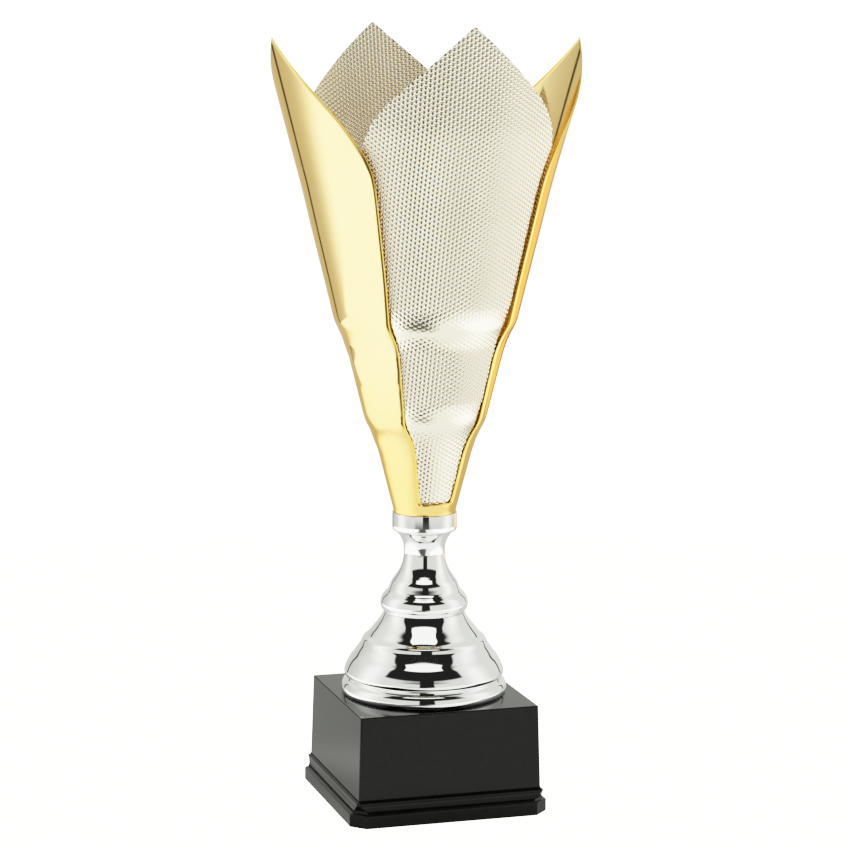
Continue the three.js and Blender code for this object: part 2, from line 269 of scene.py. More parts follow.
class Surface(NodeMaths):
    """A Principled material and the few node patterns that the finishes here are made of."""

    def __init__(self, name, metallic=0.0, **values):
        self.material = bpy.data.materials.new(name)
        self.material.use_nodes = True
        self.nodes = self.material.node_tree.nodes
        self.links = self.material.node_tree.links
        self.shader = self.nodes["Principled BSDF"]
        self.shader.inputs["Metallic"].default_value = metallic
        for socket, value in values.items():
            self.shader.inputs[socket.replace("_", " ")].default_value = value
        self.place = self.nodes.new("ShaderNodeTexCoord").outputs["Object"]

    def noise(self, size, detail=3.0, stretch=(1, 1, 1)):
        """A noise pattern whose patches are about size metres across."""
        mapping = self.nodes.new("ShaderNodeMapping")
        mapping.inputs["Scale"].default_value = stretch
        pattern = self.nodes.new("ShaderNodeTexNoise")
        pattern.inputs["Scale"].default_value = 1 / size
        pattern.inputs["Detail"].default_value = detail
        self.links.new(self.place, mapping.inputs["Vector"])
        self.links.new(mapping.outputs["Vector"], pattern.inputs["Vector"])
        return pattern.outputs["Fac"]

    def colour(self, pattern, low, high):
        """Base colour that runs from low to high with the pattern."""
        ramp = self.nodes.new("ShaderNodeValToRGB")
        ramp.color_ramp.elements[0].position = 0.35
        ramp.color_ramp.elements[0].color = (*low, 1)
        ramp.color_ramp.elements[1].position = 0.65
        ramp.color_ramp.elements[1].color = (*high, 1)
        self.links.new(pattern, ramp.inputs["Fac"])
        self.links.new(ramp.outputs["Color"], self.shader.inputs["Base Color"])
        return self

    def tint(self, amount, colour):
        """Multiplies the base colour by another one, as far as the amount says."""
        base = self.shader.inputs["Base Color"]
        tinted = self.mixed_colour(amount, base.links[0].from_socket, (*colour, 1), "MULTIPLY")
        self.links.new(tinted, base)

    def ramp(self, value, start, end):
        """1 at start, 0 at end, smooth between."""
        return self.spread(value, end, start)

    def roughness(self, pattern, low, high):
        """Roughness that runs from low to high with the pattern."""
        straight = self.nodes.new("ShaderNodeMapRange")
        straight.inputs["From Min"].default_value = 0.3
        straight.inputs["From Max"].default_value = 0.7
        straight.inputs["To Min"].default_value = low
        straight.inputs["To Max"].default_value = high
        self.links.new(pattern, straight.inputs["Value"])
        self.links.new(straight.outputs["Result"], self.shader.inputs["Roughness"])
        return self

    def bump(self, pattern, depth):
        """Bumps of about depth metres from the pattern."""
        bump = self.nodes.new("ShaderNodeBump")
        bump.inputs["Strength"].default_value = 1.0
        bump.inputs["Distance"].default_value = depth
        self.links.new(pattern, bump.inputs["Height"])
        self.links.new(bump.outputs["Normal"], self.shader.inputs["Normal"])
        return self


def chrome_plate():
    surface = Surface("chrome_plate", metallic=1.0)
    surface.colour(surface.noise(0.06), (0.86, 0.865, 0.87), (0.93, 0.93, 0.925))
    surface.roughness(surface.noise(0.012), 0.02, 0.05)
    surface.bump(surface.noise(0.02, detail=1.0), 0.00002)
    return surface.material


GOLD_EDGE = (0.95, 0.78, 0.52, 1)  # gold keeps its colour where it is seen edge on
DEEP_GOLD_BELOW = (0.2, 0.34)  # metres: the gold is deepest at the first height, plain at the second
DEEP_GOLD = (1.0, 0.84, 0.55)
# Painted shade: the silver's colour is darkened towards the grey below in the creases between the dots.
CREASE_SHADE_POINTINESS = (0.44, 0.502)  # pointiness of the creases between the dots, and of the open sheet
CREASE_PAINTED_SHADE = (0.12, 0.12, 0.12)


def gold_plate():
    surface = Surface("gold_plate", metallic=1.0, Specular_Tint=GOLD_EDGE)
    surface.colour(surface.noise(0.09), (1.0, 0.66, 0.26), (1.0, 0.71, 0.3))
    parts = surface.nodes.new("ShaderNodeSeparateXYZ")
    surface.links.new(surface.place, parts.inputs["Vector"])
    surface.tint(surface.ramp(parts.outputs["Z"], *DEEP_GOLD_BELOW), DEEP_GOLD)
    surface.roughness(surface.noise(0.02), 0.04, 0.09)
    surface.bump(surface.noise(0.03, detail=1.0, stretch=(1, 1, 0.4)), 0.00004)
    return surface.material


def gold_hem_painted_reflection():
    """The rolled edge of the gold sheet, painted a deeper, more saturated gold as a painted reflection of
    light bounced more than once off the gold.
    """
    surface = Surface("gold_hem_painted_reflection", metallic=1.0, Specular_Tint=GOLD_EDGE)
    # Painted reflection: this deeper, more saturated gold stands in for light bounced more than once off the
    # gold.
    surface.colour(surface.noise(0.02), (0.98, 0.6, 0.1), (1.0, 0.66, 0.15))
    surface.roughness(surface.noise(0.01), 0.08, 0.16)
    surface.bump(surface.noise(0.006, detail=1.0), 0.00002)
    return surface.material


def silver_embossed():
    surface = Surface("silver_embossed", metallic=1.0)
    surface.colour(surface.noise(0.03), (0.93, 0.84, 0.66), (0.97, 0.88, 0.71))
    hollow = surface.nodes.new("ShaderNodeNewGeometry").outputs["Pointiness"]
    # Painted shade in the creases between the dots, where the pointiness is low.
    surface.tint(surface.ramp(hollow, *CREASE_SHADE_POINTINESS), CREASE_PAINTED_SHADE)
    surface.roughness(surface.noise(0.01), 0.08, 0.14)
    surface.bump(surface.noise(0.0015), 0.00003)
    return surface.material


def black_gloss():
    surface = Surface("black_gloss", IOR=1.22)
    surface.colour(surface.noise(0.004), (0.0015, 0.0015, 0.0015), (0.003, 0.003, 0.0027))
    surface.roughness(surface.noise(0.03), 0.06, 0.11)
    surface.bump(surface.noise(0.0035, detail=1.0), 0.000012)
    return surface.material


def zinc_steel():
    surface = Surface("zinc_steel", metallic=1.0)
    surface.colour(surface.noise(0.004), (0.5, 0.51, 0.52), (0.68, 0.69, 0.7))
    surface.roughness(surface.noise(0.002), 0.22, 0.42)
    surface.bump(surface.noise(0.0006), 0.00002)
    return surface.material


def plaster():
    surface = Surface("plaster")
    surface.colour(surface.noise(0.008), (0.56, 0.53, 0.47), (0.72, 0.69, 0.63))
    surface.roughness(surface.noise(0.004), 0.75, 0.95)
    surface.bump(surface.noise(0.0012, detail=5.0), 0.0003)
    return surface.material


def cover_board():
    surface = Surface("cover_board")
    surface.colour(surface.noise(0.003, stretch=(1, 6, 1)), (0.02, 0.017, 0.014), (0.05, 0.043, 0.036))
    surface.roughness(surface.noise(0.002), 0.65, 0.9)
    surface.bump(surface.noise(0.0008, detail=5.0), 0.0001)
    return surface.material


CHROME = chrome_plate()
GOLD = gold_plate()
GOLD_HEM_PAINTED_REFLECTION = gold_hem_painted_reflection()
SILVER = silver_embossed()
BLACK = black_gloss()
ZINC = zinc_steel()
PLASTER = plaster()
BOARD = cover_board()


# ---------- plinth ----------

BLOCK_TOP = plinth_high.z / MM
SKIRT_HALF = plinth_high.x / MM
SKIRT_CORNER = 9.5
BEAD_CORNER = 1.7
BLOCK_CORNER = 1.2
BEAD_HALF = 65.6
BLOCK_BOTTOM_HALF = 63.9
BLOCK_TOP_HALF = 62.4
COVE_BOTTOM = 9.0
COVE_TOP = 15.2
POCKET_HALF = 59.7
POCKET_TOP = 71.3
POCKET_CORNER = 1
SKIRT_EDGE = [(0, 0.6), (0.25, 0.15), (0.8, 0), (8.0, 0), (8.6, 0.15), (8.95, 0.6)]  # height, set back
COVE_INSET = 0.6  # the cove starts this far in from the skirt's side
COVE_STEPS = 10
BEAD_EDGE = [(0.4, 0.12, BEAD_CORNER), (1.2, 0.12, BEAD_CORNER), (1.7, -0.2, BEAD_CORNER), (2.0, -0.8, 1.5)]
BLOCK_FOOT = [(18.2, 0.15), (18.7, 0)]  # height, and how far the block stands out there
BLOCK_EDGE = 0.8
CUT_CORNERS_BELOW = COVE_TOP + 2.1  # the skirt's corners are cut straight, the block's are round


def plinth_rings():
    """Level outlines up the outside, in across the top to the rod hole, and back down inside."""
    levels = [(height, SKIRT_HALF - back, SKIRT_CORNER - back) for height, back in SKIRT_EDGE]
    cove_edge = SKIRT_HALF - COVE_INSET
    for r, z in arc((cove_edge, COVE_TOP), 1.0, -90, -180, COVE_STEPS):
        across = (cove_edge - r) * (cove_edge - BEAD_HALF)
        height = COVE_TOP + (z - COVE_TOP) * (COVE_TOP - COVE_BOTTOM)
        share = (height - COVE_BOTTOM) / (COVE_TOP - COVE_BOTTOM)
        corner = SKIRT_CORNER + (BEAD_CORNER - SKIRT_CORNER) * share
        levels.append((height, cove_edge - across, corner))
    levels += [(COVE_TOP + rise, BEAD_HALF + out, corner) for rise, out, corner in BEAD_EDGE]
    levels += [(height, BLOCK_BOTTOM_HALF + out, BLOCK_CORNER) for height, out in BLOCK_FOOT]
    for r, z in arc((BLOCK_TOP_HALF - BLOCK_EDGE, BLOCK_TOP - BLOCK_EDGE), BLOCK_EDGE, 0, 90, 5):
        levels.append((z, r, BLOCK_CORNER - (BLOCK_TOP_HALF - r)))
    rings = []
    for height, half, corner in levels:
        rings.append(rounded_square(half, corner, height, cut=float(height < CUT_CORNERS_BELOW)))
    top = rings[-1]
    rings.append(shrunk_to_circle(top, ROD_HOLE, BLOCK_TOP))
    rings.append(shrunk_to_circle(top, ROD_HOLE, POCKET_TOP))
    rings.append(rounded_square(POCKET_HALF, POCKET_CORNER, POCKET_TOP))
    rings.append(rounded_square(POCKET_HALF, POCKET_CORNER, 0))
    return rings


plinth = make_piece("plinth_shell", *join_rings(plinth_rings()), "black_gloss", BLACK)
evened = plinth.modifiers.new("even_shading", "WEIGHTED_NORMAL")
evened.keep_sharp = True


INWARD_SHARES = (0.001, 0.25, 0.5, 0.75)  # sizes of the rings that close a block's faces


def block(name, levels, slot, material, side_steps=4):
    """A solid block through (height, half width, corner) levels."""
    rings = [rounded_square(half, corner, z, side_steps=side_steps) for z, half, corner in levels]
    first, last = levels[0], levels[-1]
    bottom = [[(x * s, y * s, first[0]) for x, y, _ in rings[0]] for s in INWARD_SHARES]
    top = [[(x * s, y * s, last[0]) for x, y, _ in rings[-1]] for s in INWARD_SHARES[::-1]]
    return make_piece(name, *join_rings([*bottom, *rings, *top], closed=False), slot, material)


cover_low, cover_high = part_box("bottom_cover")
cover_half = cover_high.x / MM
cover_bottom, cover_top = cover_low.z / MM, cover_high.z / MM
COVER_EDGE = 0.3
cover_levels = [
    (cover_bottom, cover_half - COVER_EDGE, 0.9),
    (cover_bottom + COVER_EDGE, cover_half, 1.1),
    (cover_top - COVER_EDGE, cover_half, 1.1),
    (cover_top, cover_half - COVER_EDGE, 0.9),
]
block("bottom_cover", cover_levels, "cover_board", BOARD)

weight_low, weight_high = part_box("ballast_block")
weight_side = weight_high.x / MM - 0.3
weight_bottom, weight_top = weight_low.z / MM, weight_high.z / MM
WEIGHT_EDGE = 1.5
WEIGHT_CORNER = 5
WEIGHT_HEIGHT = 19
weight_levels = [
    (weight_bottom, weight_high.x / MM - WEIGHT_EDGE, WEIGHT_CORNER - 1),
    (weight_bottom + WEIGHT_EDGE, weight_side, WEIGHT_CORNER),
]
for i in range(1, 8):
    weight_levels.append((weight_bottom + WEIGHT_EDGE + WEIGHT_HEIGHT * i / 8, weight_side, WEIGHT_CORNER))
weight_levels += [
    (weight_top - WEIGHT_EDGE, weight_side, WEIGHT_CORNER),
    (weight_top, weight_high.x / MM - WEIGHT_EDGE, WEIGHT_CORNER - 1),
]
block("ballast_block", weight_levels, "plaster", PLASTER, side_steps=16)


# ---------- riser ----------

LATHE_SEGMENTS = 192
RISER_WEB = 3  # thickness of the wall across the top of each moulding
BELL_TOP = bell_high.z / MM
BELL_BOTTOM = bell_low.z / MM
NECK_BOTTOM = neck_low.z / MM
NECK_TOP = neck_high.z / MM

bell_outside = [
    *smooth([(56.2, BELL_BOTTOM), (56.8, 76), (57, 78), (56.5, 80.7), (55.3, 82.9), (53.5, 84.4)], 0.4),
    *smooth([(53.2, 85.4), (54.9, 89.3), (53.7, 93.4), (50.8, 99), (47.3, 103.6), (44, 108.4)], 0.6),
    *smooth(
        [(43.2, 109.6), (42.2, 112.4), (39.4, 114.8), (36, 118.8), (32.4, 123.2)]
        + [(29.3, 127.6), (27.6, BELL_TOP)],
        0.6,
    ),
]
bell_inside = [
    (ROD_HOLE, BELL_TOP),
    (ROD_HOLE, BELL_TOP - RISER_WEB),
    (25.4, BELL_TOP - RISER_WEB),
    *smooth([(25.4, BELL_TOP - 3.2), (29.6, 124), (36.6, 115.4), (40.4, 111.4)], 2),
    *smooth([(41.4, 108.6), (48, 98.4), (51.4, 91), (50.6, BELL_BOTTOM)], 3),
]
make_piece("riser_bell", *turned([*bell_outside, *bell_inside], LATHE_SEGMENTS), "chrome_plate", CHROME)

neck_outside = [
    *smooth(
        [(27.7, NECK_BOTTOM), (29.3, 133.4), (30.2, 136.2), (29.9, 139), (28.8, 141.8), (26.6, 144.6)],
        0.5,
    ),
    *smooth(
        [(24.8, 146.2), (23.6, 149.2), (22.3, 152.4), (19.9, 155.8), (17.2, 160), (14.9, 166)]
        + [(14.2, 173.4), (15.2, 180), (17.4, 184), (19.4, NECK_TOP)],
        0.6,
    ),
]
neck_inside = [
    (ROD_HOLE, NECK_TOP),
    (ROD_HOLE, NECK_TOP - RISER_WEB),
    (13.4, NECK_TOP - RISER_WEB),
    *smooth([(13.2, NECK_TOP - 3.2), (11.9, 177), (11.9, 168), (14.4, 159.6), (20.2, 151), (22.4, 145)], 2),
    *smooth([(26.2, 141), (26.8, 135.6), (25, NECK_BOTTOM)], 2),
]
make_piece("riser_neck", *turned([*neck_outside, *neck_inside], LATHE_SEGMENTS), "chrome_plate", CHROME)

COLLAR_RADIUS = collar_high.x / MM
COLLAR_BOTTOM = collar_low.z / MM
COLLAR_TOP = collar_high.z / MM
COLLAR_FLOOR = 193.0
collar_outline = [
    (ROD_HOLE, COLLAR_BOTTOM),
    (19.8, COLLAR_BOTTOM),
    *arc((COLLAR_RADIUS - 2.5, COLLAR_BOTTOM + 2.5), 2.5, -70, 0, 12),
    *arc((COLLAR_RADIUS - 0.4, COLLAR_TOP - 0.4), 0.4, 0, 90, 5),
    (21.5, COLLAR_TOP),
    (21.5, COLLAR_FLOOR),
    (ROD_HOLE, COLLAR_FLOOR),
]
make_piece("cup_collar", *turned(collar_outline, LATHE_SEGMENTS), "chrome_plate", CHROME)


# ---------- cup ----------


class CupLine:
    """The outside line of a sheet of the cup: radius, slope and length along the line by height."""

    def __init__(self, knots):
        points = np.array(rounded(knots, 5.0, 1.0))
        self.radii, self.heights = points.T
        steps = np.hypot(*np.diff(points, axis=0).T)
        self.lengths = np.concatenate([[0], np.cumsum(steps)])

    def radius(self, height):
        return np.interp(height, self.heights, self.radii)

    def height_at(self, length):
        return np.interp(length, self.lengths, self.heights)

    def length(self, height):
        return np.interp(height, self.heights, self.lengths)

    def normal(self, height):
        """Outward (radial, up) direction square to the line."""
        rise = 1.5
        out = (self.radius(height + rise) - self.radius(height - rise)) / (2 * rise)
        size = np.sqrt(1 + out * out)
        return 1 / size, -out / size


gold_line = CupLine([
    (21.1, gold_low.z / MM), (21.1, 200.4), (22.6, 206), (32.3, 243.5), (36.2, 254.6), (41.2, 263.8),
    (53, 311), (55.6, 318.6), (58.6, 325.2), (62, 331.4), (84.1, 422), (101.4, 486), (111.2, 522),
])
leaf_line = CupLine([
    (19.7, leaf_low.z / MM), (19.7, 200.4), (21.1, 206), (30.7, 243.5), (34.5, 254.6), (39.4, 263.8),
    (51, 311), (53.4, 318.6), (56.2, 325.2), (59, 331.4), (79.5, 419), (91.5, 463), (102.6, 531),
])


class PetalSide:
    """A petal's outline seen square on: half width by drop below the tip, and how the tip leans."""

    def __init__(self, tip, knots, lean=0.0):
        self.tip = tip
        self.lean = lean
        self.drops, self.halves = np.array(rounded(knots, 9.0, 1.0)).T

    def edge_angles(self, line, height):
        """The directions of the petal's two edges round the cup, from its middle, at that height."""
        half = np.interp(self.tip - height, self.drops, self.halves)
        shift = -self.lean * np.clip(1 - (self.tip - height) / LEAN_DEPTH, 0, 1)
        radius = line.radius(height)
        first = np.arcsin(np.clip((shift - half) / radius, -1, 1))
        second = np.arcsin(np.clip((shift + half) / radius, -1, 1))
        return first, second


LEAN_DEPTH = 99.0  # the lean of the front leaf's tip fades out this far below it
GOLD_TIP = gold_high.z / MM
LEAF_TIP = leaf_high.z / MM
GOLD_KNOTS = [
    (0, 0), (12.4, 14), (25.4, 28.4), (38.4, 41.4), (49.6, 50.6), (62.6, 57.2), (74, 60.8), (86, 61.8),
    (99, 60.2), (159, 50.2), (221, 38.2), (312.6, 20.2), (340, 20.2),
]
LEAF_KNOTS = [
    (0, 0), (12.4, 14.5), (25.4, 29), (38.4, 42.4), (49.6, 54.1), (62.6, 62.4), (74, 66), (86, 66.6),
    (99, 64), (159, 52), (221, 38.2), (316, 20.2), (345, 20.2),
]
GOLD_SIDE = PetalSide(GOLD_TIP, GOLD_KNOTS)
FRONT_SIDE = PetalSide(LEAF_TIP, LEAF_KNOTS, lean=10.0)
REAR_SIDE = PetalSide(LEAF_TIP, LEAF_KNOTS)
WINDOW_SILL = 208.7
WINDOW_CORNER = 1.2
HEM_WIDTH = 2.6
HEM_DEPTH = 0.9
TIP_CURL = (2.2, -1.0)  # how far the right and left tips bend outwards
CURL_FROM = 430.0
WAVE_HEIGHT = 0.18
WAVE_SIZE = 55.0
FOLD_HEIGHT = 2.2  # soft folds push the left petal outwards round the middle height below
FOLD_SIZE = 17.0
FOLD_MIDDLE = 285.0
FOLD_REACH = 55.0
PETAL_INNER_COLUMNS = 44
WINDOW_COLUMNS = 14
EDGE_COLUMNS = [0, 0.35, 0.8, 1.3, 1.9, 2.6, 3.6]
HEM_COLUMNS = 4
STILL_HEIGHT = 60  # the waves in the sheet grow from nothing over this height above the sill


def petal_spread(half_arc):
    """Places across a petal from its middle, in millimetres of arc, closer together at the edges."""
    tight = min(1.0, half_arc / (2 * EDGE_COLUMNS[-1]))
    edge = [half_arc - tight * s for s in EDGE_COLUMNS]
    inner = edge[-1]
    middle = [inner * (2 * i / PETAL_INNER_COLUMNS - 1) for i in range(1, PETAL_INNER_COLUMNS)]
    return [-s for s in edge] + middle + edge[::-1]


def gold_point(angle, height, hem):
    """A point of the gold sheet, rolled inwards by the hem share and slightly wavy."""
    radius = gold_line.radius(height)
    out, up = gold_line.normal(height)
    turn = angle + GOLD_TURN
    place = Vector((radius * math.cos(turn), radius * math.sin(turn), height))
    growth = min(1.0, max(0.0, (height - WINDOW_SILL) / STILL_HEIGHT))
    curl_share = max(0.0, (height - CURL_FROM) / (GOLD_TIP - CURL_FROM))
    curl = TIP_CURL[0 if math.cos(angle) > 0 else 1] * curl_share**1.5
    shift = WAVE_HEIGHT * growth * noise.noise(place / WAVE_SIZE) - HEM_DEPTH * hem * hem + curl
    if math.cos(angle) < 0:
        fade = max(0.0, 1 - ((height - FOLD_MIDDLE) / FOLD_REACH) ** 2)
        shift += FOLD_HEIGHT * fade * max(0.0, noise.noise(place / FOLD_SIZE))
    radius += shift * out
    return (radius * math.cos(turn), radius * math.sin(turn), height + shift * up)


def gold_shell_mesh():
    """One sheet: a ring at the foot, and two petals that stand on it facing left and right."""
    foot = list(np.linspace(gold_low.z / MM, WINDOW_SILL, 12))
    heights = [WINDOW_SILL + s for s in (0.25, 0.7, 1.3, 2.0)]
    heights += list(np.arange(WINDOW_SILL + 3.4, GOLD_TIP - 8, 1.8))
    heights += list(np.arange(GOLD_TIP - 7, GOLD_TIP - 0.2, 0.8)) + [GOLD_TIP - 0.05]
    points, faces, rows, hem_faces = [], [], [], []

    def row_angles(height):
        above = max(0.0, min(WINDOW_CORNER, height - WINDOW_SILL))
        fillet = WINDOW_CORNER - math.sqrt(WINDOW_CORNER**2 - (WINDOW_CORNER - above) ** 2)
        radius = float(gold_line.radius(height))
        half_arc = float(GOLD_SIDE.edge_angles(gold_line, max(height, WINDOW_SILL))[1]) * radius + fillet
        return half_arc, radius, petal_spread(half_arc)

    sill_arc, sill_radius, sill_spread = row_angles(WINDOW_SILL)
    window_half = math.pi / 2 - sill_arc / sill_radius
    window = [window_half * (2 * i / WINDOW_COLUMNS - 1) for i in range(1, WINDOW_COLUMNS)]
    for height in foot:
        row = []
        sill_hem = max(0, 1 - (WINDOW_SILL - height) / 1.2) * 0.5
        for facing in (0, math.pi):
            for s in sill_spread:
                row.append(len(points))
                points.append(gold_point(facing + s / sill_radius, height, 0))
            for angle in window:
                row.append(len(points))
                points.append(gold_point(facing + math.pi / 2 + angle, height, sill_hem))
        rows.append(row)
    for low, high in zip(rows, rows[1:]):
        for i in range(len(low)):
            j = (i + 1) % len(low)
            faces.append((low[i], low[j], high[j], high[i]))
    columns = len(sill_spread)
    for petal, facing in enumerate((0, math.pi)):
        start = petal * (columns + len(window))
        below = rows[-1][start : start + columns]
        for height in heights:
            half_arc, radius, spread = row_angles(height)
            lean = half_arc - row_angles(height + 1)[0]
            across = 1 / math.hypot(1, lean)
            row = []
            for s in spread:
                from_edge = (half_arc - abs(s)) * across
                hem = max(0.0, 1 - from_edge / HEM_WIDTH)
                row.append(len(points))
                points.append(gold_point(facing + s / radius, height, hem))
            for i in range(columns - 1):
                if min(i, columns - 2 - i) < HEM_COLUMNS:
                    hem_faces.append(len(faces))
                faces.append((below[i], below[i + 1], row[i + 1], row[i]))
            below = row
    return points, faces, hem_faces


gold_points, gold_faces, hem_faces = gold_shell_mesh()
# The hem faces take the hem's deeper gold, a painted reflection.
gold = make_piece("gold_shell", gold_points, gold_faces, "gold_plate", GOLD, GOLD_HEM_PAINTED_REFLECTION, hem_faces)
sheet = gold.modifiers.new("sheet", "SOLIDIFY")
sheet.thickness = GOLD_SHEET * MM
sheet.offset = -1
sheet.use_even_offset = True

DOT_PITCH = 3.2
DOT_RADIUS = 0.56 * DOT_PITCH  # neighbours meet in a crease
DOT_HEIGHT = 0.75
DOT_STEPS = 6
CONE_HEIGHT = 331.4  # the flat sheet is laid out from the cone that fits the cup at this height
FLAT_BANDS = [(330, 11), (268, 9)]  # height and half width of the shoulders, where the dots are flattened
FLATTENING = 0.92
FAINT_FADE = 10.0
CONE_SPAN = 20  # the cone's slope is taken over this height
FAINT_BELOW = 262.0  # the dots are shallower below this height
FAINT = 0.6
LEAF_REACH = 82.0  # more than half the width of the flat sheet
MIDDLE_GAP = 1.2
LEAF_FOOT = leaf_low.z / MM


def dot_height(x_steps, y_steps):
    """Height of the round dots at a point of the fine triangular grid, from 0 to 1."""
    across = (x_steps % DOT_STEPS) / DOT_STEPS
    along = (y_steps % DOT_STEPS) / DOT_STEPS
    best = np.full(across.shape, 9.0)
    for corner_x in (0, 1):
        for corner_y in (0, 1):
            dx, dy = across - corner_x, along - corner_y
            best = np.minimum(best, np.sqrt(dx * dx + dy * dy + dx * dy))
    share = best * DOT_PITCH / DOT_RADIUS
    return np.clip(1 - share**3, 0, None)


def leaf_mesh(side, turn):
    """A flat sheet with rows of round dots, cut to the petal outline and bent into the cup."""
    step = DOT_PITCH / DOT_STEPS
    widening = leaf_line.radius(CONE_HEIGHT + CONE_SPAN) - leaf_line.radius(CONE_HEIGHT)
    lean = widening / np.hypot(widening, CONE_SPAN)
    apex = leaf_line.radius(CONE_HEIGHT) / lean - leaf_line.length(CONE_HEIGHT)
    low = apex + leaf_line.length(LEAF_FOOT)
    high = apex + leaf_line.length(LEAF_TIP)
    column_gap = step * math.sqrt(3) / 2
    columns = int(LEAF_REACH / column_gap)
    x_steps, y_steps = np.meshgrid(
        np.arange(-columns, columns + 1), np.arange(int(-columns / 2), int((high + 20) / step)), indexing="ij"
    )
    flat_x = x_steps * column_gap
    flat_y = (y_steps + x_steps / 2) * step
    reach = np.hypot(flat_x, flat_y)
    height = leaf_line.height_at(reach - apex)
    radius = leaf_line.radius(height)
    angle = np.arctan2(flat_x, np.maximum(flat_y, 1e-6)) * reach / radius
    limit = np.arccos(MIDDLE_GAP / radius)
    first_edge, second_edge = side.edge_angles(leaf_line, height)
    first_edge, second_edge = np.maximum(first_edge, -limit), np.minimum(second_edge, limit)
    inside = (reach > low) & (reach < high) & (flat_y > 0) & (angle > first_edge) & (angle < second_edge)

    press = np.ones(height.shape)
    for middle, half in FLAT_BANDS:
        press -= FLATTENING * np.exp(-(((height - middle) / half) ** 2))
    press *= FAINT + (1 - FAINT) * np.clip((height - FAINT_BELOW) / FAINT_FADE, 0, 1)
    bump = DOT_HEIGHT * np.clip(press, 0, 1) * dot_height(x_steps, y_steps)

    keep = np.zeros(height.shape, bool)
    faces = []
    for first, second, third in (((0, 0), (1, 0), (0, 1)), ((1, 0), (1, 1), (0, 1))):
        parts = []
        for dx, dy in (first, second, third):
            parts.append((slice(dx, height.shape[0] - 1 + dx), slice(dy, height.shape[1] - 1 + dy)))
        votes = sum(inside[p].astype(int) for p in parts)
        chosen = np.argwhere(votes >= 2)
        for i, j in chosen:
            faces.append(tuple((i + dx, j + dy) for dx, dy in (first, second, third)))
        for dx, dy in (first, second, third):
            keep[chosen[:, 0] + dx, chosen[:, 1] + dy] = True
    number = np.full(height.shape, -1)
    number[keep] = np.arange(keep.sum())
    faces = [tuple(int(number[corner]) for corner in face) for face in faces]

    sides = {}
    for face in faces:
        for a, b in zip(face, face[1:] + face[:1]):
            sides[(min(a, b), max(a, b))] = sides.get((min(a, b), max(a, b)), 0) + 1
    rim = {v for side, count in sides.items() if count == 1 for v in side}

    out, up = leaf_line.normal(height)
    points = []
    for i, j in np.argwhere(keep):
        a, z, r = angle[i, j], height[i, j], radius[i, j]
        if int(number[i, j]) in rim and reach[i, j] < high - 1:
            for edge in (first_edge[i, j], second_edge[i, j]):
                a = edge if abs(a - edge) * r < 2 * step else a
        shift = bump[i, j] - LEAF_SHEET
        r = r + shift * out[i, j]
        z = z + shift * up[i, j]
        points.append((r * math.cos(a + turn), r * math.sin(a + turn), z))
    return points, faces


def leaf_foot(turn, start):
    """The half-round foot of a leaf, a flat tab that the clamp washer holds down."""
    points, faces = [], []
    radii = np.linspace(ROD_HOLE + 0.1, leaf_line.radii[0] - LEAF_SHEET, 6)
    angles = np.linspace(-1.5, 1.5, 40)
    for i, radius in enumerate(radii):
        for k, angle in enumerate(angles):
            limit = math.acos(min(1.0, MIDDLE_GAP / radius))
            a = max(-limit, min(limit, angle)) + turn
            points.append((radius * math.cos(a), radius * math.sin(a), LEAF_FOOT + LEAF_SHEET / 2))
            if i and k:
                here = start + i * len(angles) + k
                faces.append((here, here - 1, here - len(angles) - 1, here - len(angles)))
    return points, faces


def make_leaf(name, side, turn):
    points, faces = leaf_mesh(side, turn)
    foot_points, foot_faces = leaf_foot(turn, len(points))
    make_piece(name, points + foot_points, faces + foot_faces, "silver_embossed", SILVER)


make_leaf("mesh_leaf_front", FRONT_SIDE, FRONT_TURN)
make_leaf("mesh_leaf_rear", REAR_SIDE, REAR_TURN)


# ---------- tie rod and fastenings ----------

THREAD_PITCH = 1.0
THREAD_DEPTH = 0.55
ROD_RADIUS = rod_high.x / MM
ROD_SIDES = 28
ROWS_PER_TURN = 6


def threaded_rod(bottom, top):
    """A rod with a helical thread all along it and a small chamfer at each end."""
    rings = []
    rows = int((top - bottom) / THREAD_PITCH * ROWS_PER_TURN)
    for row in range(rows + 1):
        z = bottom + (top - bottom) * row / rows
        end = min(z - bottom, top - z)

        def radius(angle, z=z, end=end):
            phase = (z / THREAD_PITCH - angle / (2 * math.pi)) % 1
            depth = THREAD_DEPTH * abs(2 * phase - 1)
            return min(ROD_RADIUS - depth, ROD_RADIUS - 0.8 + end)

        rings.append(circle(radius, z, ROD_SIDES))
    rings.insert(0, circle(0.01, bottom, ROD_SIDES))
    rings.append(circle(0.01, top, ROD_SIDES))
    return join_rings(rings, closed=False)


make_piece("tie_rod", *threaded_rod(rod_low.z / MM, rod_high.z / MM), "zinc_steel", ZINC)

NUT_SIDES = 96
WASHER_SEGMENTS = 128
THREAD_BITE = 0.1  # a nut's bore is this much tighter than the rod holes
BORE_FLARE = 0.3
BORE_CHAMFER = 0.4


def hexagon_radius(flat, round_off=0.0):
    """Distance to a hexagon's side in each direction, cut by a circle at the corners."""

    def radius(angle):
        across = (angle + math.pi / 6) % (math.pi / 3) - math.pi / 6
        return min(flat / math.cos(across), flat / math.cos(math.pi / 6) - round_off)

    return radius


def nut_rings(flat, bottom, top):
    """The outside of a nut from its bottom face to its top face, both chamfered."""
    outline = hexagon_radius(flat, 0.05)

    def bevel(angle):
        return max(0.0, (outline(angle) - flat * 0.97)) * 0.55

    return [
        circle(flat * 0.96, bottom, NUT_SIDES),
        circle(outline, lambda angle: bottom + bevel(angle), NUT_SIDES),
        circle(outline, lambda angle: top - bevel(angle), NUT_SIDES),
        circle(flat * 0.96, top, NUT_SIDES),
    ]


